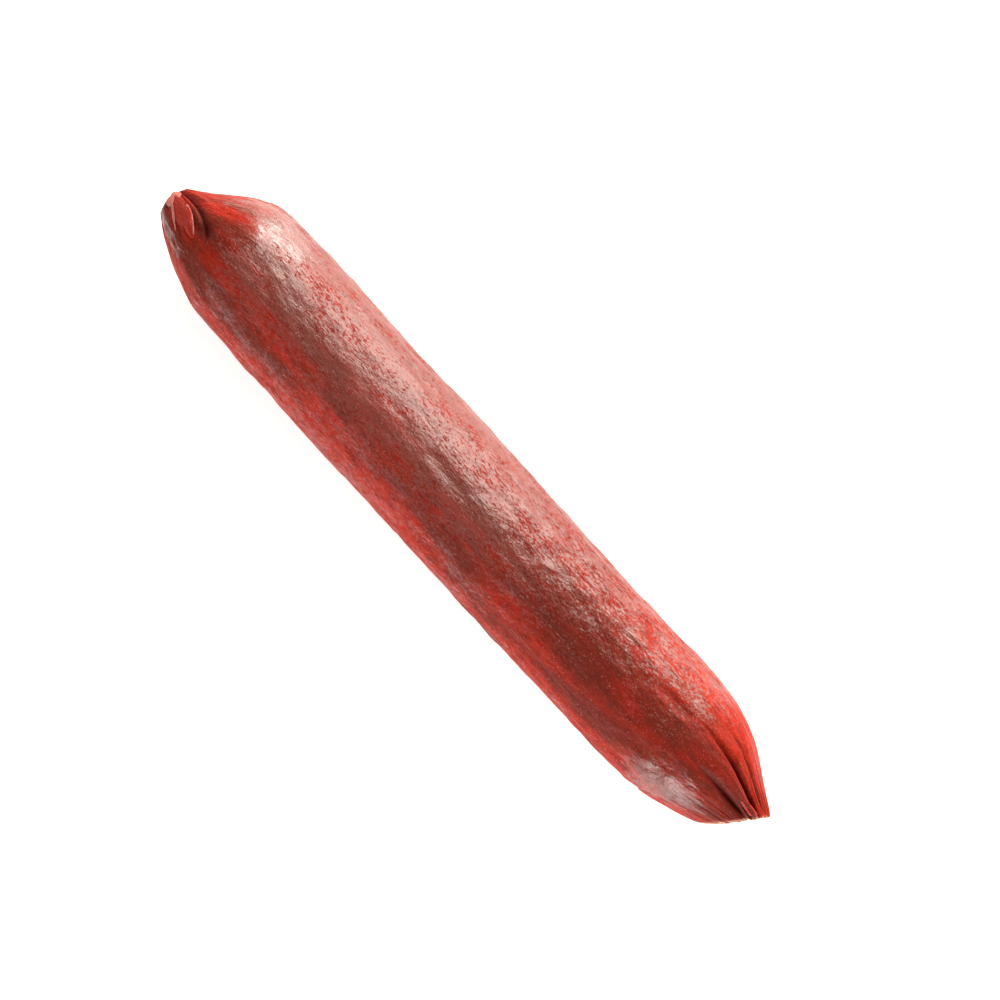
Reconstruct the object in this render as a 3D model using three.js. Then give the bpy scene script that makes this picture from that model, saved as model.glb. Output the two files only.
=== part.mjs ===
// One cured sausage lying on its side: a straight, slightly bent length of smoked meat packed tight in
// its casing. One end is twisted shut and tucked back on itself, the other is gathered into pleats and
// cut off at a slant.
//
// Frame: millimetres, +X along the sausage towards the pleated end, +Z up, and the origin in the middle
// of its footprint, on the surface it lies on. Filling and casing have cured into one solid.

import * as THREE from "three";

// Driving dimensions, in millimetres unless the name says otherwise.
const LENGTH = 149; // from tip to tip
const DIAMETER = 24.3; // of the stuffed casing at its fullest, in the middle
const THINNING = 0.6; // radius lost from the middle to the ends of an untapered body
const BEND = 0.45; // how far the middle bows out towards -Y
const FLAT_DEPTH = 0.6; // how far the underside has settled flat under its own weight
const SHOULDER = 4; // how far the body and a tapered end blend into each other
const TAPER_REACH = 30; // the ends keep their finer rings this far from the tip
const SLANT_REACH = 28; // rings lean with a slanted cut this far from the tip
const SEGMENTS = 60; // facets around the sausage
const END_STEP = 1.5; // spacing of the rings over the tapered ends
const BODY_STEP = 6; // spacing of the rings along the body
const SLIDE_STEPS = 4; // corrections that settle a leaning ring onto its cone

const HALF = LENGTH / 2;
const RADIUS = DIAMETER / 2;
const REST_HEIGHT = RADIUS - FLAT_DEPTH; // height of the axis over the surface

// An end is a blunt cone whose tip sits a little off the axis, and whose face may be cut at a slant.
// slope is radius gained per millimetre from the tip, slant is millimetres of lean per millimetre
// across, and twist is degrees that the creases turn per millimetre. A crease is [degrees around at the
// tip from +Y towards +Z, reach from the tip, share of the radius that it takes at the tip, half of its
// width in degrees]; a crease that takes a negative share is a raised fold.
const TUCKED_END = {
  side: -1,
  tipRadius: 2.5,
  slope: 0.7,
  tipOffset: new THREE.Vector2(-1.9, 0.8),
  slant: 0,
  twist: 2.6,
  creases: [
    [42, 10, 0.2, 20],
    [78, 15, 0.42, 20],
    [93, 11, -0.14, 12],
    [108, 12, 0.3, 18],
    [150, 12, 0.24, 22],
    [204, 14, 0.32, 24],
    [246, 12, 0.28, 22],
    [288, 14, 0.32, 24],
    [330, 11, 0.24, 24],
  ],
};
const PLEATED_END = {
  side: 1,
  tipRadius: 3.4,
  slope: 0.53,
  tipOffset: new THREE.Vector2(-0.9, -0.6),
  slant: 0.71,
  twist: 0,
  creases: [
    [24, 12, 0.14, 14],
    [48, 18, 0.26, 15],
    [66, 22, 0.42, 15],
    [96, 18, 0.42, 18],
    [120, 20, 0.24, 14],
    [144, 20, 0.2, 16],
    [204, 16, 0.28, 20],
    [240, 14, 0.28, 22],
    [276, 17, 0.34, 24],
    [318, 14, 0.3, 24],
  ],
};

// The smaller of two lengths, rounded off where they are within SHOULDER of each other.
function softMinimum(a, b) {
  const near = Math.max(0, SHOULDER - Math.abs(a - b));
  return Math.min(a, b) - (near * near) / (4 * SHOULDER);
}

// Radius of the casing at a distance from an end's tip: the end's cone, then the body.
function casingRadius(end, fromTip) {
  const along = 1 - fromTip / HALF;
  const body = RADIUS - THINNING * along * along;
  return softMinimum(end.tipRadius + end.slope * fromTip, body);
}

// 1 at the tip, falling smoothly to 0 at the reach and beyond.
function fade(fromTip, reach) {
  return 1 - THREE.MathUtils.smootherstep(fromTip, 0, reach);
}

// Share of the radius that the creases leave, at an angle around and a distance from the tip.
// Each crease is a sharp valley with round shoulders.
function creased(end, angle, fromTip) {
  let left = 1;
  for (const [degrees, reach, depth, halfWidth] of end.creases) {
    const turn = angle - THREE.MathUtils.degToRad(degrees + end.twist * fromTip);
    const away = Math.abs(Math.atan2(Math.sin(turn), Math.cos(turn)));
    const across = Math.min(1, away / THREE.MathUtils.degToRad(halfWidth));
    left -= depth * fade(fromTip, reach) * (1 - across) ** 2;
  }
  return left;
}

// Place of a casing point: share is 0 on the axis and 1 on the casing, angle turns from +Y towards +Z,
// and station is the distance of its ring from the end's tip. A leaning ring slides along the cone, so
// that the cone keeps its outline and only the cut face is slanted.
function casingPoint(end, station, angle, share) {
  const lean = end.slant * fade(station, SLANT_REACH);
  const cutEdge = end.tipRadius + end.tipOffset.x;
  let fromTip = station;
  let y = 0;
  let z = 0;
  for (let step = 0; step < SLIDE_STEPS; step++) {
    const radius = share * casingRadius(end, fromTip) * creased(end, angle, fromTip);
    const pull = fade(fromTip, TAPER_REACH / 2);
    const along = 1 - fromTip / HALF;
    y = radius * Math.cos(angle) + end.tipOffset.x * pull - BEND * (1 - along * along);
    z = radius * Math.sin(angle) + end.tipOffset.y * pull + REST_HEIGHT;
    fromTip = station + lean * Math.max(0, cutEdge - y);
  }
  return new THREE.Vector3(end.side * (HALF - fromTip), y, Math.max(0, z));
}

// Distances along X of the rings: close together over the ends, wider apart along the body.
function ringStations() {
  const endRings = Math.round(TAPER_REACH / END_STEP);
  const bodyHalf = HALF - TAPER_REACH;
  const bodyRings = Math.round(bodyHalf / BODY_STEP);
  const stations = [0];
  for (let i = 1; i <= bodyRings; i++) stations.push((bodyHalf * i) / bodyRings);
  for (let i = 1; i <= endRings; i++) stations.push(bodyHalf + (TAPER_REACH * i) / endRings);
  const mirrored = stations.slice(1).map((x) => -x);
  return [...mirrored.reverse(), ...stations];
}

// The plain round blank: a cylinder turned with every ring the sausage needs.
function turnedBlank() {
  const profile = ringStations().map((x) => new THREE.Vector2(RADIUS, x));
  const start = new THREE.Vector2(0, -HALF);
  const end = new THREE.Vector2(0, HALF);
  const blank = new THREE.LatheGeometry([start, ...profile, end], SEGMENTS);
  return blank.rotateZ(-Math.PI / 2); // the lathe turns about Y, and the sausage lies along X
}

// Centres the footprint on the origin, and leaves the underside on the surface.
function centre(geometry) {
  geometry.computeBoundingBox();
  const middle = geometry.boundingBox.getCenter(new THREE.Vector3());
  return geometry.translate(-middle.x, -middle.y, 0);
}

// Shapes the blank into the sausage, point by point.
function sausageGeometry() {
  const geometry = turnedBlank();
  const places = geometry.attributes.position;
  for (let i = 0; i < places.count; i++) {
    const [x, y, z] = [places.getX(i), places.getY(i), places.getZ(i)];
    const end = x < 0 ? TUCKED_END : PLEATED_END;
    const share = Math.hypot(y, z) / RADIUS;
    const shaped = casingPoint(end, HALF - Math.abs(x), Math.atan2(z, y), share);
    places.setXYZ(i, shaped.x, shaped.y, shaped.z);
  }
  centre(geometry);
  geometry.computeVertexNormals();
  return geometry;
}

// Smoked casing: deep brick red with a satin sheen.
function smokedCasing() {
  return new THREE.MeshStandardMaterial({ color: 0x9e2a1c, roughness: 0.42, metalness: 0 });
}

const sausage = new THREE.Mesh(sausageGeometry(), smokedCasing());
sausage.name = "cured_sausage";

const part = new THREE.Group();
part.add(sausage);

export default part;
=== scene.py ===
"""The looks of one cured sausage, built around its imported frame.

A smoked, cured filling packed tight in a thin collagen casing. One end is twisted shut and tucked back on
itself, the other is gathered into pleats and cut off at a slant.

Everything is in metres in the frame's own axes: +X along the sausage towards the pleated end, +Z up, and
the surface that it lies on at z = 0.
"""

import itertools
import math
from typing import NamedTuple

import bpy
import numpy as np
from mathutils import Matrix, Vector


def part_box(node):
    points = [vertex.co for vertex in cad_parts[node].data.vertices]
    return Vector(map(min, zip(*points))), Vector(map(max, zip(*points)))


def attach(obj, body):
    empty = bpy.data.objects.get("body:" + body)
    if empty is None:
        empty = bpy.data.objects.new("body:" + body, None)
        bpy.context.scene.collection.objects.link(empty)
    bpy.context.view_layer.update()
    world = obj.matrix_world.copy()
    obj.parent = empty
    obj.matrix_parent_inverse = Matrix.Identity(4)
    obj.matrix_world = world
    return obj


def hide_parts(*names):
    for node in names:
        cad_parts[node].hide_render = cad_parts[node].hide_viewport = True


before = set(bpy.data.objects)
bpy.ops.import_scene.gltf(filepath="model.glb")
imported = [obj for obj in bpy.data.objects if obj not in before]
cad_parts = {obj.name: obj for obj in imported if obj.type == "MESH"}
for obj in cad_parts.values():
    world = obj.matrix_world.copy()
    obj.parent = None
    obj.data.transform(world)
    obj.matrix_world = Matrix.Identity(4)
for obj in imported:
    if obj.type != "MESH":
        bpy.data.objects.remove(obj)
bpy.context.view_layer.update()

bl_info = {
    "name": "Cured Sausage",
    "version": (1, 0, 0),
    "blender": (4, 5, 0),
    "location": "View3D > Sidebar > Sausage",
    "description": "Builds a smoked, cured sausage with its casing folds, materials and studio stage",
    "category": "Add Mesh",
}

MM = 0.001  # one millimetre in metres
NODE = "cured_sausage"
BODY = "root"
CASING = "Smoked collagen casing"
REST = "casing_rest"  # attribute: the point's place on the plain round casing, before it is gathered
FOLD = "fold_depth_for_painted_shade"  # attribute: 0 on open casing, 1 deep inside a fold, where the colour is darkened as painted shade
FILLING = "filling"  # attribute: 0 on casing, 1 on cut filling
LOOSE = "loose_casing"  # attribute: 1 on thin casing with nothing behind it
LOW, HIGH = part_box(NODE)


def linear(hex_colour):
    """An sRGB hex colour as linear red, green and blue."""
    channels = [int(hex_colour[i : i + 2], 16) / 255 for i in (1, 3, 5)]
    return [c / 12.92 if c <= 0.04045 else ((c + 0.055) / 1.055) ** 2.4 for c in channels]


def opaque(colour):
    """A linear colour with full alpha."""
    return (*colour, 1.0)


# ---------------------------------------------------------------------------------------------------
# Settings that a user would change
# ---------------------------------------------------------------------------------------------------


def length_property(name, description, default):
    """A length in metres."""
    return bpy.props.FloatProperty(
        name=name, description=description, default=default, precision=5, subtype="DISTANCE"
    )


def colour_property(name, description, hex_colour):
    """A linear colour, given as sRGB hex."""
    return bpy.props.FloatVectorProperty(
        name=name, description=description, default=linear(hex_colour), size=3, subtype="COLOR", min=0, max=1
    )


class SausageShape(bpy.types.PropertyGroup):
    """Sizes of the sausage."""

    length: length_property("Length", "From tip to tip", HIGH.x - LOW.x)
    diameter: length_property("Diameter", "Of the stuffed casing at its fullest", HIGH.y - LOW.y)
    flat_depth: length_property(
        "Flat depth", "How far the underside has settled", HIGH.y - LOW.y - (HIGH.z - LOW.z)
    )
    thinning: length_property("Thinning", "Radius lost from the middle towards the ends", 0.6 * MM)
    bend: length_property("Bend", "How far the middle bows out sideways", 0.45 * MM)
    lumps: length_property("Lumps", "Height of the broad swellings of the filling", 0.26 * MM)
    dents: length_property("Dents", "Depth of the long shallow dents", 0.4 * MM)
    grain: length_property("Grain", "Height of the filling's coarse grain", 0.14 * MM)
    wrinkles: length_property("Wrinkles", "Depth of the drying wrinkles", 0.07 * MM)


class SausageColours(bpy.types.PropertyGroup):
    """Colours of the casing and of what shows at its ends."""

    red: colour_property("Red", "Casing over lean meat", "#70160D")
    # orange is also painted light: the -Y flank is coloured lighter and more orange, as light falling there
    # makes it
    orange: colour_property("Orange", "Casing over paprika-coloured fat", "#8C1C0A")
    # deep red is also painted shade, laid over the colour inside deep folds
    deep: colour_property("Deep red", "Casing where smoke has gathered", "#450D07")
    # smoke brown is also painted shade: its streaks are pushed denser along the top
    brown: colour_property("Smoke brown", "Dry, smoke-darkened casing", "#40190F")
    # film is also a painted highlight: it pales the glossy sheen patches
    film: colour_property("Film", "Cloudy dried skin on the smoked side", "#5A2C21")
    thin: colour_property("Thin casing", "Loose casing with nothing behind it", "#A05850")
    filling: colour_property("Filling", "Cut meat", "#7A3A2A")
    fat: colour_property("Fat", "Cut fat and dried casing edges", "#A5856A")


def strength_property(name, description, default):
    """A light's power in watts, or the strength of a glow."""
    return bpy.props.FloatProperty(name=name, description=description, default=default, min=0)


class StageSettings(bpy.types.PropertyGroup):
    """Floor, lights and camera."""

    floor: colour_property("Floor", "Plain pale surface", "#F4F3F1")
    glow: strength_property("Floor glow", "Light through the floor", 0.4)
    key_power: strength_property("Key power", "Softbox, in watts", 10.5)
    fill_power: strength_property("Fill power", "Polarised fill, in watts", 5.0)
    flank_power: strength_property("Flank power", "Polarised flank light, in watts", 2.6)
    top_power: strength_property("Top power", "Polarised top light, in watts", 3.5)
    card_power: strength_property("Card power", "Low card, in watts", 1.9)
    walls: strength_property("Walls", "Strength of the light from around", 0.2)
    ceiling: strength_property("Ceiling", "Strength of the light above", 0.15)
    camera_distance: length_property("Camera distance", "From the sausage's widest outline", 0.8)
    view_width: length_property("View width", "Width of the view at the sausage", 0.1727)


# ---------------------------------------------------------------------------------------------------
# Noise
# ---------------------------------------------------------------------------------------------------


def gradient_noise(points, seed):
    """Smooth noise of about -1 to 1: every corner of a unit lattice has a random slope, and a point blends
    what the slopes of its eight corners give there, by the quintic fade."""
    random = np.random.default_rng(seed)
    table = random.permutation(256)
    slopes = random.normal(size=(256, 3))
    slopes /= np.linalg.norm(slopes, axis=1, keepdims=True)
    cell = np.floor(points).astype(int)
    local = points - cell
    blend = local**3 * (local * (local * 6 - 15) + 10)
    total = np.zeros(points.shape[:-1])
    for corner in itertools.product((0, 1), repeat=3):
        place = cell + corner
        hashed = table[(table[(table[place[..., 0] & 255] + place[..., 1]) & 255] + place[..., 2]) & 255]
        value = ((local - corner) * slopes[hashed]).sum(-1)
        total += value * np.where(corner, blend, 1 - blend).prod(-1)
    return total * 1.6  # brings its spread to about -1 to 1


def casing_noise(rest, along, across, seed):
    """Noise over the casing, whose features are about along metres long and across metres wide."""
    return gradient_noise(rest / np.array([along, across, across]), seed)


def ridges(noise):
    """1 on the lines where the noise changes sign, falling to 0 away from them."""
    return 1 - np.minimum(1, np.abs(noise) * 2.2)


# ---------------------------------------------------------------------------------------------------
# Shape of the casing
# ---------------------------------------------------------------------------------------------------


class Pleat(NamedTuple):
    """A crease in a gathered end. A negative depth is a raised fold."""

    degrees: float  # around the tip from +Y towards +Z
    reach: float  # metres from the tip
    depth: float  # metres, at the tip
    half_width: float  # metres
    lean: float = 0.0  # how far one flank is steeper than the other, from -1 to 1
    clear: float = 1e-6  # metres from the tip in which it is nearly closed


class End(NamedTuple):
    """A blunt cone whose tip sits a little off the axis, and whose face may be cut at a slant."""

    tip_radius: float
    slope: float  # radius gained per metre from the tip
    tip_offset: tuple  # y and z of the tip, from the axis
    slant: float  # lean of the cut per metre across
    twist: float  # degrees that the pleats turn per metre
    pleats: tuple
    fine_pleats: int
    seed: int
    hollows: tuple = ()  # each is degrees around, metres from the tip, depth and radius in metres


SHOULDER = 4 * MM  # how far the body and a tapered end blend into each other
PULL_REACH = 15 * MM  # how far from the tip an end is pulled off the axis
CREASE_SHARPNESS = 2.6  # power of a crease's flanks: higher is sharper at the bottom
CREASE_CLOSING = 0.8  # share of its depth that a crease loses where it is nearly closed
DEEPEST = 0.55  # share of the radius that the creases may take together
SLANT_REACH = 28 * MM  # how far from the tip the grid leans with the cut
TUCKED = End(
    tip_radius=2.5 * MM,
    slope=0.7,
    tip_offset=(-1.9 * MM, 0.8 * MM),
    slant=0.0,
    twist=6.2 / MM,
    pleats=(
        Pleat(-30, 9 * MM, 0.3 * MM, 0.8 * MM),
        Pleat(4, 8 * MM, 0.25 * MM, 0.7 * MM, 0.3),
        Pleat(20, 11 * MM, -0.3 * MM, 0.9 * MM, -0.3),
        Pleat(38, 15 * MM, 1.9 * MM, 1.5 * MM, -0.5),
        Pleat(80, 11 * MM, 0.9 * MM, 0.9 * MM, 0.3),
        Pleat(92, 10 * MM, -0.3 * MM, 0.6 * MM),
        Pleat(112, 12 * MM, 0.35 * MM, 0.9 * MM, -0.3),
        Pleat(140, 10 * MM, 0.4 * MM, 0.9 * MM),
        Pleat(168, 14 * MM, 0.8 * MM, 1.3 * MM, -0.4),
        Pleat(208, 12 * MM, 0.8 * MM, 1.3 * MM, 0.4),
        Pleat(246, 14 * MM, 0.9 * MM, 1.3 * MM, -0.3),
        Pleat(290, 11 * MM, 0.6 * MM, 1.1 * MM, 0.3),
    ),
    fine_pleats=50,
    seed=11,
    hollows=((97, 9.2 * MM, 1.3 * MM, 2.3 * MM), (120, 9.5 * MM, 0.5 * MM, 2.4 * MM)),
)
PLEATED = End(
    tip_radius=3.4 * MM,
    slope=0.53,
    tip_offset=(-0.9 * MM, -0.6 * MM),
    slant=0.71,
    twist=0.0,
    pleats=(
        Pleat(12, 12 * MM, 0.3 * MM, 0.7 * MM, 0.3),
        Pleat(32, 14 * MM, 0.3 * MM, 0.7 * MM, 0.3),
        Pleat(48, 24 * MM, 0.95 * MM, 1.0 * MM, -0.4, 4 * MM),
        Pleat(60, 13 * MM, -0.3 * MM, 0.7 * MM),
        Pleat(67, 26 * MM, 2.7 * MM, 1.2 * MM, -0.45, 6 * MM),
        Pleat(76, 19 * MM, -0.45 * MM, 0.8 * MM, 0.3),
        Pleat(84, 10 * MM, 0.5 * MM, 0.6 * MM, 0.3, 2 * MM),
        Pleat(95, 21 * MM, 2.6 * MM, 2.2 * MM, 0.3, 9 * MM),
        Pleat(105, 15 * MM, -0.25 * MM, 0.7 * MM),
        Pleat(114, 20 * MM, 0.5 * MM, 0.7 * MM, 0.4, 3 * MM),
        Pleat(128, 19 * MM, 0.45 * MM, 0.7 * MM, -0.4, 2 * MM),
        Pleat(144, 20 * MM, 0.55 * MM, 0.8 * MM, 0.4, 3 * MM),
        Pleat(158, 15 * MM, 0.35 * MM, 0.7 * MM, 0.4),
        Pleat(172, 16 * MM, 0.4 * MM, 0.8 * MM, 0.3),
        Pleat(204, 16 * MM, 0.8 * MM, 1.2 * MM, -0.4),
        Pleat(240, 14 * MM, 0.9 * MM, 1.3 * MM, 0.4),
        Pleat(276, 17 * MM, 1.0 * MM, 1.3 * MM, -0.4),
        Pleat(318, 14 * MM, 0.8 * MM, 1.2 * MM, 0.4),
        Pleat(346, 11 * MM, 0.5 * MM, 0.9 * MM),
    ),
    fine_pleats=70,
    seed=23,
)


def soft_minimum(a, b):
    """The smaller of two lengths, rounded off where they are within SHOULDER of each other."""
    near = np.maximum(0, SHOULDER - np.abs(a - b))
    return np.minimum(a, b) - near * near / (4 * SHOULDER)


def fade(distance, reach):
    """1 at the tip, falling by the quintic step to 0 at the reach and beyond."""
    share = np.clip(distance / reach, 0, 1)
    return 1 - share**3 * (share * (share * 6 - 15) + 10)


def casing_radius(shape, end, from_tip):
    """Radius of the casing at a distance from an end's tip: the end's cone, then the body."""
    along = 1 - from_tip / (shape.length / 2)
    body = shape.diameter / 2 - shape.thinning * along * along
    return soft_minimum(end.tip_radius + end.slope * from_tip, body)


def all_pleats(end):
    """The end's pleats, and between them the many fine ones of tightly gathered casing."""
    random = np.random.default_rng(end.seed)
    fine = [
        Pleat(
            degrees=random.uniform(0, 360),
            reach=random.uniform(6, 18) * MM,
            depth=random.uniform(0.08, 0.3) * MM,
            half_width=random.uniform(0.25, 0.55) * MM,
            lean=random.uniform(-0.5, 0.5),
        )
        for _ in range(end.fine_pleats)
    ]
    return [*end.pleats, *fine]


def pleat_depth(end, angle, from_tip, radius):
    """How far the pleats pull the casing in: the sum of sharp valleys with round shoulders, as wide
    everywhere, whose depth fades away from the tip, and of round hollows. Together they leave part of the
    radius."""
    depth = np.zeros(np.broadcast(angle, from_tip).shape)
    for pleat in all_pleats(end):
        turn = angle - np.radians(pleat.degrees + end.twist * np.maximum(0, from_tip))
        away = np.arctan2(np.sin(turn), np.cos(turn))
        flank = pleat.half_width * (1 + pleat.lean * np.sign(away))
        across = np.minimum(1, np.abs(away) * radius / flank)
        opened = fade(from_tip, pleat.reach) * (1 - CREASE_CLOSING * fade(from_tip, pleat.clear))
        depth += pleat.depth * opened * (1 - across) ** CREASE_SHARPNESS
    for degrees, place, deep, size in end.hollows:
        turn = angle - np.radians(degrees)
        sideways = np.arctan2(np.sin(turn), np.cos(turn)) * radius
        depth += deep * np.exp(-(sideways**2 + (from_tip - place) ** 2) / (size * size / 2))
    return np.minimum(depth, DEEPEST * radius)


def relief(shape, rest):
    """Height of the casing over the plain tube: broad lumps, long dents, the grain of the filling, and
    crisp drying wrinkles. Grain and wrinkles are deepest in a stretch where the casing has puckered."""
    lumps = casing_noise(rest, 17 * MM, 9 * MM, 1) + 0.5 * casing_noise(rest, 7 * MM, 4.5 * MM, 2)
    dents = np.maximum(0, casing_noise(rest, 9 * MM, 3.2 * MM, 3) - 0.15)
    grain = casing_noise(rest, 3.4 * MM, 2.2 * MM, 7)
    wandering = rest + 0.5 * MM * casing_noise(rest, 3 * MM, 2 * MM, 4)[..., None]
    wrinkles = ridges(casing_noise(wandering, 5.0 * MM, 1.9 * MM, 5))
    along = fade(np.abs(rest[..., 0] - 24 * MM), 34 * MM)
    across = fade(np.abs(rest[..., 1] - 6 * MM), 9 * MM)
    puckered = 1 + 1.6 * along * across
    fine = shape.grain * grain - shape.wrinkles * wrinkles
    return shape.lumps * lumps - shape.dents * dents + puckered * fine


def tube_place(shape, end, side, station, angle, share, lift):
    """Places of casing points and how deep each lies in a pleat: share is 0 on the axis and 1 on the
    casing, and lift is the relief. A leaning ring slides along the cone until it meets the slanted cut."""
    slide_steps = 5
    radius_here = shape.diameter / 2
    rest_height = radius_here - shape.flat_depth
    lean = end.slant * fade(station, SLANT_REACH)
    cut_edge = end.tip_radius + end.tip_offset[0]
    from_tip = station + 0 * angle
    for _ in range(slide_steps):
        open_radius = casing_radius(shape, end, from_tip)
        depth = pleat_depth(end, angle, from_tip, open_radius) * share
        radius = share * (open_radius - depth + lift * np.minimum(1, open_radius / radius_here))
        pull = fade(from_tip, PULL_REACH)
        along = 1 - from_tip / (shape.length / 2)
        y = radius * np.cos(angle) + end.tip_offset[0] * pull + shape.bend * along * along
        z = radius * np.sin(angle) + end.tip_offset[1] * pull + rest_height
        from_tip = station + lean * np.maximum(0, cut_edge - y)
    settle = 0.08 * MM  # the underside rounds into its flat over this height
    z = (z + np.sqrt(z * z + settle * settle)) / 2
    x = side * (shape.length / 2 - from_tip)
    return np.stack([x, y, z], axis=-1), depth


# ---------------------------------------------------------------------------------------------------
# Meshes
# ---------------------------------------------------------------------------------------------------


def closed_tube(name, rings, first_pole, last_pole):
    """A closed mesh from rings of points, given in order along +X and around from +Y towards +Z, with a
    pole at each end. Quads join the rings, triangles join the poles, and faces point outwards."""
    count, around = rings.shape[:2]
    places = np.concatenate([first_pole[None], rings.reshape(-1, 3), last_pole[None]])
    index = 1 + np.arange(count * around).reshape(count, around)
    turned = np.roll(index, -1, axis=1)
    quads = np.stack([index[:-1], turned[:-1], turned[1:], index[1:]], axis=-1).reshape(-1, 4)
    start = np.stack([0 * index[0], turned[0], index[0]], axis=-1)
    finish = np.stack([0 * index[-1] + len(places) - 1, index[-1], turned[-1]], axis=-1)
    return mesh_of(name, places, [quads, start, finish])


def mesh_of(name, places, face_groups):
    """A smooth mesh from vertex places and groups of faces with the same number of corners."""
    corners = np.concatenate([group.reshape(-1) for group in face_groups]).astype(np.int32)
    sizes = np.concatenate([np.full(len(group), group.shape[1]) for group in face_groups])
    starts = np.concatenate([[0], np.cumsum(sizes)[:-1]]).astype(np.int32)
    mesh = bpy.data.meshes.new(name)
    mesh.vertices.add(len(places))
    mesh.vertices.foreach_set("co", places.astype(np.float32).ravel())
    mesh.loops.add(len(corners))
    mesh.loops.foreach_set("vertex_index", corners)
    mesh.polygons.add(len(sizes))
    mesh.polygons.foreach_set("loop_start", starts)
    mesh.update(calc_edges=True)
    mesh.polygons.foreach_set("use_smooth", np.ones(len(sizes), dtype=bool))
    if mesh.validate():
        raise RuntimeError(f"{name} has faces that Blender had to repair")
    return mesh


def store(mesh, name, values):
    """Stores one number or one vector for each vertex, for the material to read."""
    is_vector = values.ndim == 2
    attribute = mesh.attributes.new(name, "FLOAT_VECTOR" if is_vector else "FLOAT", "POINT")
    attribute.data.foreach_set("vector" if is_vector else "value", values.astype(np.float32).ravel())


def show(mesh, material):
    """Adds the mesh to the scene as a piece that rides on the body and takes the casing's slot."""
    mesh.materials.append(material)
    piece = bpy.data.objects.new(mesh.name, mesh)
    bpy.context.scene.collection.objects.link(piece)
    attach(piece, BODY)
    return piece


AROUND = 256  # points around each row
FINE_STEP = 0.32 * MM  # between rows over an end
FINE_ROWS = 74  # over each end
BODY_ROWS = 203  # between the two
NOSE_DEPTH = 1.0 * MM  # of the tucked tip's rounding
CURL_DEPTH = 1.1 * MM  # how far back from the cut the rim starts to curl inwards
CURL_SHARE = 0.14  # share of the radius that the curl takes
INNER_RIM = (  # metres from the cut, share of the radius, and share of filling
    (-0.08 * MM, 0.82, 0.2),
    (0.0, 0.79, 0.5),
    (0.25 * MM, 0.77, 0.8),
    (0.4 * MM, 0.74, 1.0),
)
CUT_SHARE = 0.71  # share of the radius at which the flat of the cut begins


def spaced_rows(shape):
    """The grid's rows from the tucked tip to the middle of the cut. Each row is [side, metres from that
    end's tip, share of the casing's radius, 1 on cut filling]. They are close together over the ends. The
    rim of the cut curls inwards by a quarter of an ellipse, and the cut is a shallow dish."""
    half = shape.length / 2
    fine = NOSE_DEPTH + FINE_STEP * np.arange(1, FINE_ROWS + 1)
    body = np.linspace(fine[-1], 2 * half - fine[-1], BODY_ROWS + 2)[1:-1]
    curl = np.radians(18) * np.arange(1, 6)
    rows = [(-1, s * s * NOSE_DEPTH, s, 0) for s in np.linspace(0.08, 1, 12)]
    rows += [(-1, s, 1, 0) for s in fine]
    rows += [(-1 if x < half else 1, min(x, 2 * half - x), 1, 0) for x in body]
    rows += [(1, s, 1, 0) for s in fine[::-1]]
    rows += [(1, CURL_DEPTH * (1 - math.sin(a)), 1 - CURL_SHARE * (1 - math.cos(a)), 0) for a in curl]
    rows += [(1, *row) for row in INNER_RIM]
    rows += [(1, (0.45 + 0.2 * s) * MM, CUT_SHARE * (1 - s), 1) for s in np.linspace(0.06, 0.94, 12)]
    return np.array(rows)


def with_poles(grid):
    """A grid's values, one for each vertex of its closed tube: each pole takes the nearest ring's first."""
    return np.concatenate([grid[0, :1], grid.reshape(-1, *grid.shape[2:]), grid[-1, :1]])


def dried_rim(rest, angle, station, share):
    """1 on the cut's torn rim where it has dried pale: patchy, mostly on top and towards -Y, and fading out
    0.9 mm from the cut."""
    rim = fade(station, 0.9 * MM) * (share > 0.8)
    patchy = 1.8 * casing_noise(rest, 9 * MM, 1.1 * MM, 12) + 0.9 * np.cos(angle - np.radians(115)) + 0.1
    return 0.85 * np.clip(patchy, 0, 1) * rim


def sausage_mesh(shape):
    """The whole sausage as one closed grid: its spaced rows along it, and AROUND points around each. A
    point's angle, its row's share of the radius and the relief give its place, by tube_place. The torn
    rim wanders to and fro along the sausage by noise, and the cut filling is rough."""
    rows = spaced_rows(shape)
    side, station, share, filling = (rows[:, i, None] for i in range(4))
    angle = np.linspace(0, 2 * np.pi, AROUND, endpoint=False)[None, :]
    radius = shape.diameter / 2
    rest_x = side * (shape.length / 2 - station) + 0 * angle
    rest = np.stack([rest_x, share * radius * np.cos(angle), share * radius * np.sin(angle)], axis=-1)
    lift = relief(shape, rest)
    near_cut = (side > 0) * (station < 0.3 * MM) * (filling < 0.6)
    torn = 0.35 * MM * casing_noise(rest, 5 * MM, 1.6 * MM, 8) * near_cut
    rough = 0.22 * MM * casing_noise(rest, 1.5 * MM, 1.5 * MM, 9) * filling
    station = station - torn + rough
    dried = dried_rim(rest, angle, station, share) * (side > 0)
    at_tucked = tube_place(shape, TUCKED, -1, station, angle, share, lift)
    at_pleated = tube_place(shape, PLEATED, 1, station, angle, share, lift)
    left = np.broadcast_to(side < 0, rest.shape[:2])
    places = np.where(left[..., None], at_tucked[0], at_pleated[0])
    depth = np.where(left, at_tucked[1], at_pleated[1])
    mesh = closed_tube("smoked_sausage", places, places[0].mean(axis=0), places[-1].mean(axis=0))
    store(mesh, REST, with_poles(rest))
    # painted shade: how deep a point lies in a pleat, which darkens its colour
    store(mesh, FOLD, with_poles(np.clip((depth - 0.25 * MM) / (0.9 * MM), 0, 1)))
    store(mesh, FILLING, with_poles(np.maximum(filling, dried)))
    store(mesh, LOOSE, with_poles(dried))
    return mesh


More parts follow.
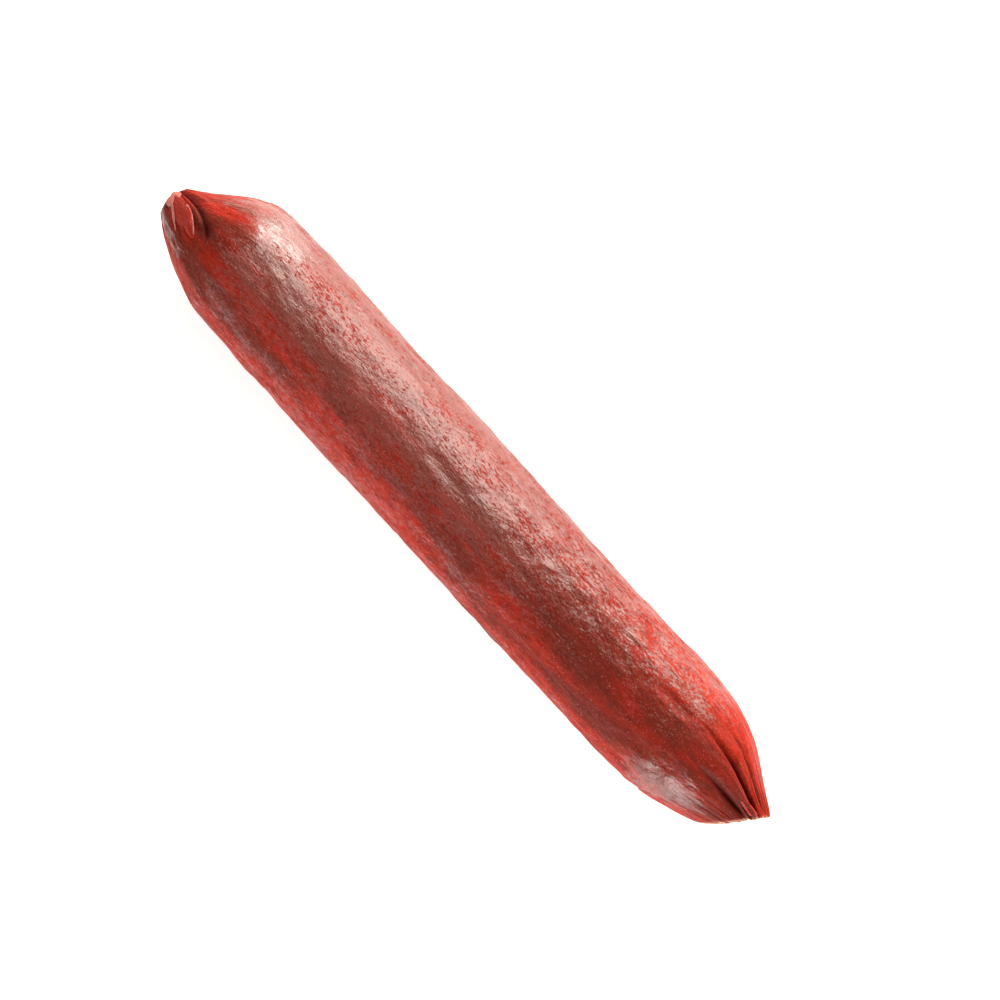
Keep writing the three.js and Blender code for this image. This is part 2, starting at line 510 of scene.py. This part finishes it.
class Fold(NamedTuple):
    """A loose fold or flap of casing that lies on an end."""

    name: str
    side: int  # -1 on the tucked end, 1 on the pleated end
    start: tuple  # metres from the tip, and degrees around
    finish: tuple
    half_width: float
    thickness: float  # half of it
    lift: float  # of its middle, above the plain casing
    ease: float = 1.0  # under 1, it turns most near its start
    narrow: float = 1.0  # share of the width that it starts with
    taper: float = 1.0  # share of the width that it finishes with
    ragged: float = 0.15  # share of the width that its edges wander
    sink: float = 0.0  # metres that its middle goes down by the finish
    tilt: float = 0.0  # metres that it drops for each metre across, towards -Y
    loose: float = 0.0  # 1 on thin casing with nothing behind it
    seed: int = 0


FOLDS = (
    Fold(
        "tucked_tongue", -1, (0.7 * MM, 62), (8.7 * MM, 110), 1.6 * MM, 0.62 * MM, 0.3 * MM,
        ease=0.3, narrow=0.6, taper=0.45, tilt=0.5, sink=0.45 * MM, ragged=0.3, loose=0.3, seed=31,
    ),
    # painted highlight: a pale strip of thin loose casing along the tongue's edge, paled further to stand for
    # the light along it
    Fold(
        "tongue_edge_painted_highlight", -1, (3.4 * MM, 76), (8.4 * MM, 106), 0.24 * MM, 0.26 * MM, 0.78 * MM,
        sink=0.35 * MM, taper=0.5, ragged=0.5, loose=0.85, seed=30,
    ),
    Fold(
        "tongue_hem", -1, (0.9 * MM, 88), (5.8 * MM, 126), 0.24 * MM, 0.34 * MM, 0.62 * MM,
        ease=0.7, sink=0.75 * MM, taper=0.5, ragged=0.4, loose=0.9, seed=32,
    ),
    Fold(
        "tip_flap", -1, (0.75 * MM, 54), (1.1 * MM, 112), 0.68 * MM, 0.2 * MM, 0.28 * MM,
        ragged=0.5, loose=1.0, seed=33,
    ),
    Fold(
        "lower_lip", -1, (0.75 * MM, 133), (11 * MM, 142), 1.7 * MM, 0.85 * MM, 0.1 * MM,
        narrow=0.7, sink=1.0 * MM, loose=0.08, seed=34,
    ),
    Fold(
        "mouth_fold_a", 1, (0.7 * MM, 72), (6.6 * MM, 78), 0.3 * MM, 0.42 * MM, 0.05 * MM,
        sink=0.4 * MM, loose=0.5, seed=35,
    ),
    Fold(
        "mouth_fold_b", 1, (0.9 * MM, 83), (4.6 * MM, 82), 0.17 * MM, 0.34 * MM, 0.0,
        sink=0.25 * MM, ragged=0.3, loose=0.55, seed=36,
    ),
)


def fold_mesh(shape, fold):
    """A closed oval section carried along the fold's path. The path runs evenly from the start to the
    finish in metres from the tip, and its degrees around follow the share of the way to the power of the
    ease. The section's half width swells from its narrow start, shrinks by the taper, rounds off as the
    root of 1 - (2 x share - 1)^6, and wanders by noise. Its middle sinks evenly from the lift, it drops
    sideways by the tilt, and the skin is rumpled and grooved lengthwise by noise of its own."""
    along, around = 72, 28
    end = (PLEATED if fold.side > 0 else TUCKED)._replace(pleats=(), fine_pleats=0, hollows=())
    share = np.linspace(0.004, 0.996, along)[:, None]
    turn = fold.side * np.linspace(0, 2 * np.pi, around, endpoint=False)[None, :]
    from_tip = fold.start[0] + (fold.finish[0] - fold.start[0]) * share
    middle = np.radians(fold.start[1] + (fold.finish[1] - fold.start[1]) * share**fold.ease)
    radius = casing_radius(shape, end, from_tip)
    lengthwise = np.gradient(from_tip, axis=0)
    sideways = np.gradient(middle, axis=0) * radius
    step = np.hypot(lengthwise, sideways)
    run = np.cumsum(step, axis=0)
    rounding = np.sqrt(1 - (2 * share - 1) ** 6)
    swell = 1 - (1 - fold.narrow) * fade(share, 0.5) - (1 - fold.taper) * fade(1 - share, 0.7)
    edge = np.concatenate([run, 0 * run, 0 * run], axis=1)[:, None, :] + np.array([0, 0, 7 * MM])
    wander = 1 + fold.ragged * casing_noise(edge + 0 * turn[..., None], 1.3 * MM, 3 * MM, fold.seed)
    across = fold.half_width * rounding * swell * wander * np.cos(turn)
    upright = fold.thickness * rounding * np.sin(turn) * (1 - 0.35 * np.cos(turn))  # thicker on one edge
    skin = np.stack([run + 0 * turn, across, upright], axis=-1)
    rumple = 1 + 0.9 * casing_noise(skin, 2.2 * MM, 0.7 * MM, fold.seed + 100)
    station = from_tip - across * sideways / step
    angle = middle + across * lengthwise / step / radius
    grooves = 0.13 * MM * ridges(casing_noise(skin, 5 * MM, 0.8 * MM, fold.seed + 200)) * np.sin(turn)
    height = fold.lift - fold.sink * share + upright * rumple - grooves - fold.tilt * across
    places = tube_place(shape, end, fold.side, station, angle, 1.0, height)[0]
    round_radius = shape.diameter / 2
    rest_x = fold.side * (shape.length / 2 - station) + 0 * angle
    rest = np.stack([rest_x, round_radius * np.cos(angle), round_radius * np.sin(angle)], axis=-1)
    mesh = closed_tube(fold.name, places, places[0].mean(axis=0), places[-1].mean(axis=0))
    store(mesh, REST, with_poles(rest))
    store(mesh, LOOSE, np.full(len(mesh.vertices), fold.loose))
    return mesh


# ---------------------------------------------------------------------------------------------------
# Materials
# ---------------------------------------------------------------------------------------------------

MATH = "ShaderNodeMath"
RANGE = "ShaderNodeMapRange"  # inputs: 0 a value, 1 and 2 the range it is in, 3 and 4 the range it becomes
SMOOTH = {"interpolation_type": "SMOOTHSTEP"}
MIX = "ShaderNodeMix"  # inputs: 0 the share of the second, 2 and 3 two numbers, 6 and 7 two colours
AS_COLOUR = {"output": 2, "data_type": "RGBA"}


def add(tree, kind, inputs=None, output=0, **settings):
    """Adds a node with its settings, sets or links its inputs, and gives one of its outputs. An input or an
    output goes by its name or its number, and an input takes a number, a colour or another node's output."""
    made = tree.nodes.new(kind)
    for name, value in settings.items():
        setattr(made, name, value)
    for name, value in (inputs or {}).items():
        if isinstance(value, bpy.types.NodeSocket):
            tree.links.new(value, made.inputs[name])
        else:
            made.inputs[name].default_value = value
    return made.outputs[output] if made.outputs else None


def new_material(name):
    """An empty node material and its tree."""
    material = bpy.data.materials.new(name)
    material.use_nodes = True
    material.node_tree.nodes.clear()
    return material, material.node_tree


def pattern(tree, place, along, across, detail=3.0, roughness=0.55, distortion=0.0, seed=0.0):
    """Noise on the casing whose features are about along metres long and across metres wide."""
    scale = (1 / along, 1 / across, 1 / across)
    shift = (seed, seed, seed)
    stretched = add(tree, "ShaderNodeMapping", {"Vector": place, "Location": shift, "Scale": scale})
    noise = {"Scale": 1.0, "Detail": detail, "Roughness": roughness, "Distortion": distortion}
    return add(tree, "ShaderNodeTexNoise", {"Vector": stretched, **noise})


class Marks(NamedTuple):
    """Where each mark of the real casing lies, as node outputs."""

    lengthwise: bpy.types.NodeSocket  # metres along the sausage from its middle; the others are 0 to 1
    painted_lit_flank: bpy.types.NodeSocket  # 1 on the -Y flank, painted lighter and more orange as painted light
    painted_shade_top: bpy.types.NodeSocket  # 1 along the top, where the colour is painted darker as shade
    film: bpy.types.NodeSocket  # 1 on flat dried skin, 0 in the red veins between
    grains: bpy.types.NodeSocket  # 1 on tiny raised dots, paler and shinier than the casing around them
    gloss_and_painted_sheen: bpy.types.NodeSocket  # 1 on the glossy patches, whose colour is paled as painted sheen
    loose: bpy.types.NodeSocket  # 1 on thin casing with nothing behind it


def casing_marks(tree, place):
    """Works out the casing's marks from a point's place on the plain round casing."""
    lengthwise = add(tree, "ShaderNodeVectorMath", {0: place, 1: (1, 0, 0)}, "Value", operation="DOT_PRODUCT")
    lit_flank_tilt = math.radians(15)  # how far above level the painted lit flank faces
    away = (0.0, -math.cos(lit_flank_tilt), math.sin(lit_flank_tilt))
    towards_lit_flank = add(tree, "ShaderNodeVectorMath", {0: place, 1: away}, "Value", operation="DOT_PRODUCT")
    # painted light: 1 on the -Y flank, whose colour is made lighter and more orange
    painted_lit_flank = add(tree, RANGE, {0: towards_lit_flank, 1: 3 * MM, 2: 10 * MM}, **SMOOTH)
    # painted shade: the top, leaning a little towards -Y, is marked for a darker colour
    up = (0.0, -0.3, 0.95)
    raised = add(tree, "ShaderNodeVectorMath", {0: place, 1: up}, "Value", operation="DOT_PRODUCT")
    painted_shade_top = add(tree, RANGE, {0: raised, 1: 7.5 * MM, 2: 12 * MM}, **SMOOTH)
    speckle = pattern(tree, place, 0.3 * MM, 0.24 * MM, detail=1, seed=7.0)
    return Marks(
        lengthwise=lengthwise,
        painted_lit_flank=painted_lit_flank,
        painted_shade_top=painted_shade_top,
        film=dried_film(tree, place, lengthwise, painted_lit_flank, painted_shade_top),
        grains=add(tree, RANGE, {0: speckle, 1: 0.69, 2: 0.76}, **SMOOTH),
        gloss_and_painted_sheen=glossy_painted_sheen_patches(tree, place),
        loose=add(tree, "ShaderNodeAttribute", output="Fac", attribute_name=LOOSE),
    )


def dried_film(tree, place, lengthwise, painted_lit_flank, painted_shade_top):
    """1 where the dried skin lies flat and catches the light, 0 in the fine red veins between. It is whole
    over the first half of the sausage, and breaks up on the tucked snout, towards the cut end, along the top
    towards the cut end, which leaves the colour there darker as painted shade, and on the -Y flank, which
    leaves it a more saturated red as painted light."""
    veins = pattern(tree, place, 0.9 * MM, 0.38 * MM, detail=4, roughness=0.8, distortion=0.3, seed=9.0)
    patches = pattern(tree, place, 6 * MM, 2.6 * MM, detail=3, seed=4.0)
    # painted shade: the film thins along the top towards the cut end, darkening the colour there
    painted_top_shade_to_cut = add(tree, RANGE, {0: lengthwise, 1: 0.0, 2: 45 * MM, 3: 0.0, 4: -0.1}, **SMOOTH)
    level = veins
    for mark, gain in ((patches, 0.35), (painted_lit_flank, -0.1), (painted_shade_top, painted_top_shade_to_cut)):
        level = add(tree, MATH, {0: mark, 1: gain, 2: level}, operation="MULTIPLY_ADD")
    for start, finish, before, after in (
        (-20 * MM, 60 * MM, 0.06, -0.02),  # dries out of the light towards the cut end
        (-64 * MM, -56 * MM, -0.2, 0.0),  # the tucked snout
        (52 * MM, 62 * MM, 0.0, -0.2),  # the pleats
    ):
        change = add(tree, RANGE, {0: lengthwise, 1: start, 2: finish, 3: before, 4: after}, **SMOOTH)
        level = add(tree, MATH, {0: level, 1: change}, operation="ADD")
    return add(tree, RANGE, {0: level, 1: 0.61, 2: 0.73}, **SMOOTH)


def glossy_painted_sheen_patches(tree, place):
    """1 on the glossy patches, whose colour the film pales as painted sheen: over the shoulder by the tucked
    end on the side towards +Y, over the one by the cut end on the side towards -Y, and on the lip below the
    tucked tongue. Each is an ellipsoid, and veins break its edges."""
    veins = pattern(tree, place, 2.4 * MM, 0.6 * MM, detail=4, roughness=0.7, seed=12.0)
    broken = add(tree, MATH, {0: veins, 1: 2.2, 2: -1.1}, operation="MULTIPLY_ADD")
    gloss_and_painted_sheen = 0.0
    for centre, size in (
        ((-57.5 * MM, 9.6 * MM, 7.4 * MM), (8.5 * MM, 5.5 * MM, 5.5 * MM)),
        ((60 * MM, -9.2 * MM, 7.9 * MM), (10 * MM, 5.8 * MM, 5.8 * MM)),
        ((-69.5 * MM, -9.0 * MM, 8.2 * MM), (5.5 * MM, 2.6 * MM, 2.6 * MM)),
    ):
        ellipsoid = {"Vector": place, "Location": centre, "Scale": size}
        inside = add(tree, "ShaderNodeMapping", ellipsoid, vector_type="TEXTURE")
        away = add(tree, "ShaderNodeVectorMath", {0: inside}, "Value", operation="LENGTH")
        edge = add(tree, MATH, {0: away, 1: broken}, operation="ADD")
        patch = add(tree, RANGE, {0: edge, 1: 0.65, 2: 1.15, 3: 1.0, 4: 0.0}, **SMOOTH)
        gloss_and_painted_sheen = add(tree, MATH, {0: gloss_and_painted_sheen, 1: patch}, operation="MAXIMUM")
    return gloss_and_painted_sheen


def casing_height(tree, place, marks):
    """Height of the dried casing in metres: flat film between fine veins, soft wrinkles, thin wandering
    creases, raised grains, and puckers that deepen towards the cut end."""
    wrinkles = pattern(tree, place, 1.2 * MM, 0.65 * MM, detail=4, roughness=0.62, seed=5.0)
    wandering = pattern(tree, place, 3.6 * MM, 1.3 * MM, detail=2, distortion=0.4)
    off_line = add(tree, MATH, {0: wandering, 1: 0.5}, operation="SUBTRACT")
    off_line = add(tree, MATH, {0: off_line}, operation="ABSOLUTE")
    between_creases = add(tree, RANGE, {0: off_line, 1: 0.0, 2: 0.05}, **SMOOTH)
    puckers = pattern(tree, place, 2.4 * MM, 1.3 * MM, detail=2, distortion=0.6, seed=6.0)
    puckered = add(tree, RANGE, {0: marks.lengthwise, 1: -20 * MM, 2: 15 * MM, 3: 0.3, 4: 1.0}, **SMOOTH)
    total = 0.0
    for layer, depth in (
        (marks.film, 0.012 * MM),
        (wrinkles, 0.1 * MM),
        (between_creases, 0.02 * MM),
        (marks.grains, 0.02 * MM),
        (add(tree, MATH, {0: puckers, 1: puckered}, operation="MULTIPLY"), 0.26 * MM),
    ):
        total = add(tree, MATH, {0: layer, 1: depth, 2: total}, operation="MULTIPLY_ADD")
    return total


def ruddiness(tree, drift, marks):
    """How far the colour leans from lean red to orange: drifting along the body, more on the -Y flank as
    painted light, and more towards both ends except along the top, where painted shade holds it back."""
    to_cut = add(tree, RANGE, {0: marks.lengthwise, 1: 5 * MM, 2: 58 * MM, 3: 0.0, 4: 0.75}, **SMOOTH)
    snout = add(tree, RANGE, {0: marks.lengthwise, 1: -66 * MM, 2: -54 * MM, 3: 0.8, 4: 0.0}, **SMOOTH)
    ends = add(tree, MATH, {0: to_cut, 1: snout}, operation="MAXIMUM")
    # painted shade: along the top the orange is held back
    below = add(tree, MATH, {0: 1.0, 1: marks.painted_shade_top}, operation="SUBTRACT")
    ends = add(tree, MATH, {0: ends, 1: below}, operation="MULTIPLY")
    # painted light: the -Y flank leans to orange
    flank = add(tree, MATH, {0: marks.painted_lit_flank, 1: 0.8}, operation="MULTIPLY")
    steady = add(tree, MATH, {0: flank, 1: ends}, operation="MAXIMUM")
    return add(tree, MATH, {0: drift, 1: 0.5, 2: steady}, operation="MULTIPLY_ADD")


def film_cloud(tree, marks):
    """How far the cloudy film hides the red: most where it lies flat and on the glossy patches as painted
    sheen, least on the -Y flank as painted light.
    """
    # painted light: the film is kept off the -Y flank, leaving it a more saturated red
    dull = add(tree, MATH, {0: marks.painted_lit_flank, 1: -0.8, 2: 1.0}, operation="MULTIPLY_ADD")
    flat = add(tree, MATH, {0: marks.film, 1: dull}, operation="MULTIPLY")
    flat = add(tree, MATH, {0: flat, 1: 0.55}, operation="MULTIPLY")
    # painted sheen: the glossy patches are paled by the film
    gloss_and_painted_sheen = add(tree, MATH, {0: marks.gloss_and_painted_sheen, 1: 0.45}, operation="MULTIPLY")
    return add(tree, MATH, {0: flat, 1: gloss_and_painted_sheen}, operation="MAXIMUM")


def casing_colour(tree, place, marks, colours):
    """Colour of the skin, laid on in coats over the red: orange over fat and, as painted light, on the -Y
    flank, deep red mottling, smoke brown in streaks that are pushed densest on top as painted shade, the
    cloudy film, which also pales the glossy patches as painted sheen, paler casing where it is loose, fine
    deep red veins all over, and pale grains. Each coat is the share of its colour that shows."""
    drift = pattern(tree, place, 15 * MM, 7 * MM, detail=3)
    mottle = pattern(tree, place, 2.6 * MM, 1.4 * MM, detail=5, roughness=0.7)
    smoke = pattern(tree, place, 24 * MM, 5 * MM, detail=4, roughness=0.6, seed=3.0)
    # painted shade: the brown streaks are pushed denser along the top
    smoke = add(tree, MATH, {0: marks.painted_shade_top, 1: 0.2, 2: smoke}, operation="MULTIPLY_ADD")
    fine = pattern(tree, place, 0.42 * MM, 0.3 * MM, detail=3, roughness=0.8, seed=15.0)
    coats = (
        (add(tree, RANGE, {0: ruddiness(tree, drift, marks), 1: 0.2, 2: 1.1}, **SMOOTH), colours.orange),
        (add(tree, RANGE, {0: mottle, 1: 0.44, 2: 0.66, 3: 0.0, 4: 0.6}, **SMOOTH), colours.deep),
        (add(tree, RANGE, {0: smoke, 1: 0.5, 2: 0.8, 3: 0.0, 4: 0.75}, **SMOOTH), colours.brown),
        (film_cloud(tree, marks), colours.film),
        (add(tree, RANGE, {0: marks.loose, 1: 0.0, 2: 0.5}, **SMOOTH), colours.orange),
        (add(tree, RANGE, {0: marks.loose, 1: 0.5, 2: 1.0}, **SMOOTH), colours.thin),
        (add(tree, RANGE, {0: fine, 1: 0.42, 2: 0.68, 3: 0.0, 4: 0.55}, **SMOOTH), colours.deep),
        (add(tree, MATH, {0: marks.grains, 1: 0.5}, operation="MULTIPLY"), colours.thin),
    )
    colour = opaque(colours.red)
    for share, coat in coats:
        colour = add(tree, MIX, {0: share, 6: colour, 7: opaque(coat)}, **AS_COLOUR)
    return colour


def cut_colour(tree, place, loose, colours):
    """Colour of the cut: fine-minced meat with specks of fat, and mostly fat-pale on the dried rim."""
    mince = pattern(tree, place, 1.3 * MM, 1.3 * MM, detail=4, roughness=0.6, seed=7.0)
    fatty = add(tree, MATH, {0: loose, 1: 0.35, 2: mince}, operation="MULTIPLY_ADD")
    fat = add(tree, RANGE, {0: fatty, 1: 0.5, 2: 0.68}, **SMOOTH)
    return add(tree, MIX, {0: fat, 6: opaque(colours.filling), 7: opaque(colours.fat)}, **AS_COLOUR)


def casing_roughness(tree, marks, filling):
    """Satin on the film, duller in the veins, glossy on the sheen patches, and dull on the cut."""
    satin = add(tree, RANGE, {0: marks.film, 1: 0.0, 2: 1.0, 3: 0.5, 4: 0.4}, **SMOOTH)
    skin = add(tree, MIX, {0: marks.gloss_and_painted_sheen, 2: satin, 3: 0.27}, data_type="FLOAT")
    return add(tree, MIX, {0: filling, 2: skin, 3: 0.55}, data_type="FLOAT")


def casing_sheen(tree, marks):
    """Strength of the reflections: the film, the sheen patches, the grains and loose casing all shine."""
    sheen = add(tree, RANGE, {0: marks.film, 1: 0.0, 2: 1.0, 3: 0.07, 4: 0.48}, **SMOOTH)
    for mark, gain in ((marks.gloss_and_painted_sheen, 0.42), (marks.grains, 0.4), (marks.loose, 0.25)):
        sheen = add(tree, MATH, {0: mark, 1: gain, 2: sheen}, operation="MULTIPLY_ADD")
    return sheen


def smoked_casing(colours):
    """Collagen sausage casing, filled, cured and cold smoked. It dries tight and satin over the filling, so
    the eye gets a red that drifts between lean and fat behind it, browner smoke streaks, a cloudy film
    with fine red veins, and a crisp, finely wrinkled shine. Painted shade darkens the deep folds and the
    top, the -Y flank is painted lighter and more orange as painted light, and the glossy patches are paled
    as painted sheen. Where the sausage is cut, the filling shows paler, grainy and duller."""
    material, tree = new_material(CASING)
    place = add(tree, "ShaderNodeAttribute", output="Vector", attribute_name=REST)
    fold = add(tree, "ShaderNodeAttribute", output="Fac", attribute_name=FOLD)
    filling = add(tree, "ShaderNodeAttribute", output="Fac", attribute_name=FILLING)
    marks = casing_marks(tree, place)
    skin = casing_colour(tree, place, marks, colours)
    # painted shade: deep inside folds the colour darkens towards deep red
    painted_crease_shade = add(tree, MATH, {0: fold, 1: 0.85}, operation="MULTIPLY")
    skin = add(tree, MIX, {0: painted_crease_shade, 6: skin, 7: opaque(colours.deep)}, **AS_COLOUR)
    cut = cut_colour(tree, place, marks.loose, colours)
    height = casing_height(tree, place, marks)
    shader = add(
        tree,
        "ShaderNodeBsdfPrincipled",
        {
            "Base Color": add(tree, MIX, {0: filling, 6: skin, 7: cut}, **AS_COLOUR),
            "Roughness": casing_roughness(tree, marks, filling),
            "IOR": 1.5,
            "Specular IOR Level": casing_sheen(tree, marks),
            "Normal": add(tree, "ShaderNodeBump", {"Height": height, "Strength": 1.0, "Distance": 1.0}),
            "Subsurface Weight": 0.04,
            "Subsurface Radius": (1.0, 0.28, 0.14),
            "Subsurface Scale": 0.8 * MM,
        },
    )
    add(tree, "ShaderNodeOutputMaterial", {"Surface": shader})
    return material


def lit_acrylic(colour, glow):
    """White acrylic sheet lit from below, as on a packshot table: an even pale surface, with hardly any
    shadow, that throws a little light up under whatever lies on it."""
    material, tree = new_material("Lit white acrylic")
    place = add(tree, "ShaderNodeTexCoord", output="Object")
    tooth = pattern(tree, place, 1.5 * MM, 1.5 * MM, detail=2)
    shader = add(
        tree,
        "ShaderNodeBsdfPrincipled",
        {
            "Base Color": opaque(colour),
            "Roughness": 0.8,
            "Normal": add(tree, "ShaderNodeBump", {"Height": tooth, "Strength": 0.2, "Distance": 0.02 * MM}),
            "Emission Color": opaque(colour),
            "Emission Strength": glow,
        },
    )
    add(tree, "ShaderNodeOutputMaterial", {"Surface": shader})
    return material


# ---------------------------------------------------------------------------------------------------
# Operators
# ---------------------------------------------------------------------------------------------------


class BuildSausage(bpy.types.Operator):
    """Builds the filled casing from tip to cut, in place of the plain solid"""

    bl_idname = "sausage.build_body"
    bl_label = "Filled casing"

    def execute(self, context):
        scene = context.scene
        piece = show(sausage_mesh(scene.sausage_shape), smoked_casing(scene.sausage_colours))
        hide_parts(NODE)
        return {"FINISHED"}


class BuildFolds(bpy.types.Operator):
    """Builds the loose folds and flaps of casing at both ends"""

    bl_idname = "sausage.build_folds"
    bl_label = "Folds and flaps"

    def execute(self, context):
        scene = context.scene
        skin = bpy.data.materials.get(CASING) or smoked_casing(scene.sausage_colours)
        for fold in FOLDS:
            show(fold_mesh(scene.sausage_shape, fold), skin)
        return {"FINISHED"}


class Lamp(NamedTuple):
    """A rectangular light that faces a target. Its width stays level."""

    name: str
    place: tuple  # metres
    target: tuple
    width: float
    height: float
    colour: tuple = (1, 1, 1)
    polarised: bool = False  # crossed with the lens, so that its reflections don't show


def show_light(lamp, power):
    """Adds a lamp to the scene, with its power in watts."""
    light = bpy.data.lights.new(lamp.name, "AREA")
    light.shape = "RECTANGLE"
    light.size = lamp.width
    light.size_y = lamp.height
    light.energy = power
    light.color = lamp.colour
    holder = bpy.data.objects.new(lamp.name, light)
    holder.location = lamp.place
    holder.rotation_euler = (Vector(lamp.target) - Vector(lamp.place)).to_track_quat("-Z", "Y").to_euler()
    holder.visible_glossy = not lamp.polarised
    bpy.context.scene.collection.objects.link(holder)


SOFTBOX = Lamp("softbox", (-0.10, 0.433, 0.25), (-0.08, 0, 0), 0.44, 0.54, colour=(1, 0.95, 0.86))
CARD = Lamp("low_card", (0.3, -0.3, 0.09), (0.04, 0, 0.01), 0.3, 0.14)
FILL = Lamp("polarised_fill", (0, -0.6, 0.17), (0, 0, 0), 0.8, 0.3, polarised=True)
FLANK = Lamp("polarised_flank", (0.36, 0.4, 0.16), (0.05, 0, 0), 0.4, 0.3, polarised=True)
TOP = Lamp("polarised_top", (0, 0, 1.2), (0, 0, 0), 1.2, 1.2, polarised=True)
FLOOR_REACH = 3.0  # metres from the middle to each edge
CAMERA_TURN = math.radians(47.4)  # the sausage runs this far below the view's level
AIM_RIGHT = 5.6 * MM  # the sausage lies this far left of the view's middle
AIM_UP = 1.5 * MM  # and this far below it


class BuildStage(bpy.types.Operator):
    """Builds the pale floor, the studio lights and the camera that looks straight down"""

    bl_idname = "sausage.build_stage"
    bl_label = "Stage, lights and camera"

    def execute(self, context):
        settings = context.scene.sausage_stage
        self.build_floor(settings)
        self.build_lights(settings)
        self.build_walls(settings)
        self.build_camera(settings)
        return {"FINISHED"}

    def build_floor(self, settings):
        reach = FLOOR_REACH
        corners = np.array([[-reach, -reach, 0], [reach, -reach, 0], [reach, reach, 0], [-reach, reach, 0]])
        mesh = mesh_of("pale_floor", corners, [np.array([[0, 1, 2, 3]])])
        mesh.materials.append(lit_acrylic(settings.floor, settings.glow))
        floor = bpy.data.objects.new("pale_floor", mesh)
        bpy.context.scene.collection.objects.link(floor)

    def build_lights(self, settings):
        show_light(SOFTBOX, settings.key_power)
        show_light(CARD, settings.card_power)
        show_light(FILL, settings.fill_power)
        show_light(FLANK, settings.flank_power)
        show_light(TOP, settings.top_power)

    def build_walls(self, settings):
        world = bpy.data.worlds.new("pale_studio")
        world.use_nodes = True
        tree = world.node_tree
        tree.nodes.clear()
        direction = add(tree, "ShaderNodeTexCoord", output="Generated")
        height = add(tree, "ShaderNodeSeparateXYZ", {0: direction}, "Z")
        lit = {0: height, 1: 0.3, 2: 1.0, 3: settings.walls, 4: settings.ceiling}
        strength = add(tree, RANGE, lit, **SMOOTH)
        backdrop = add(tree, "ShaderNodeBackground", {"Color": (1, 1, 1, 1), "Strength": strength})
        add(tree, "ShaderNodeOutputWorld", {"Surface": backdrop})
        bpy.context.scene.world = world

    def build_camera(self, settings):
        right = Vector((math.cos(CAMERA_TURN), math.sin(CAMERA_TURN), 0))
        up = Vector((-math.sin(CAMERA_TURN), math.cos(CAMERA_TURN), 0))
        aim = (LOW + HIGH) / 2 + right * AIM_RIGHT + up * AIM_UP
        camera = bpy.data.cameras.new("camera")
        camera.sensor_width = 36
        camera.lens = camera.sensor_width * settings.camera_distance / settings.view_width
        camera.clip_start = 0.01
        camera.clip_end = 20
        holder = bpy.data.objects.new("camera", camera)
        holder.location = aim + Vector((0, 0, settings.camera_distance))
        holder.rotation_euler = (0, 0, CAMERA_TURN)
        bpy.context.scene.collection.objects.link(holder)
        bpy.context.scene.camera = holder
        bpy.context.scene.view_settings.view_transform = "Standard"


class SausagePanel(bpy.types.Panel):
    """Lists the sausage's pieces and its settings"""

    bl_idname = "VIEW3D_PT_sausage"
    bl_label = "Cured sausage"
    bl_space_type = "VIEW_3D"
    bl_region_type = "UI"
    bl_category = "Sausage"

    def draw(self, context):
        for operator in OPERATORS:
            self.layout.operator(operator.bl_idname)
        for name in SETTINGS:
            group = getattr(context.scene, name)
            box = self.layout.box()
            for setting in group.__annotations__:
                box.prop(group, setting)


SETTINGS = {"sausage_shape": SausageShape, "sausage_colours": SausageColours, "sausage_stage": StageSettings}
OPERATORS = (BuildSausage, BuildFolds, BuildStage)
CLASSES = (*SETTINGS.values(), *OPERATORS, SausagePanel)


def register():
    for each in CLASSES:
        bpy.utils.register_class(each)
    for name, group in SETTINGS.items():
        setattr(bpy.types.Scene, name, bpy.props.PointerProperty(type=group))


def unregister():
    for name in SETTINGS:
        delattr(bpy.types.Scene, name)
    for each in reversed(CLASSES):
        bpy.utils.unregister_class(each)


def main():
    """Builds every piece in order."""
    register()
    bpy.ops.sausage.build_body()
    bpy.ops.sausage.build_folds()
    bpy.ops.sausage.build_stage()


if __name__ == "__main__":
    main()
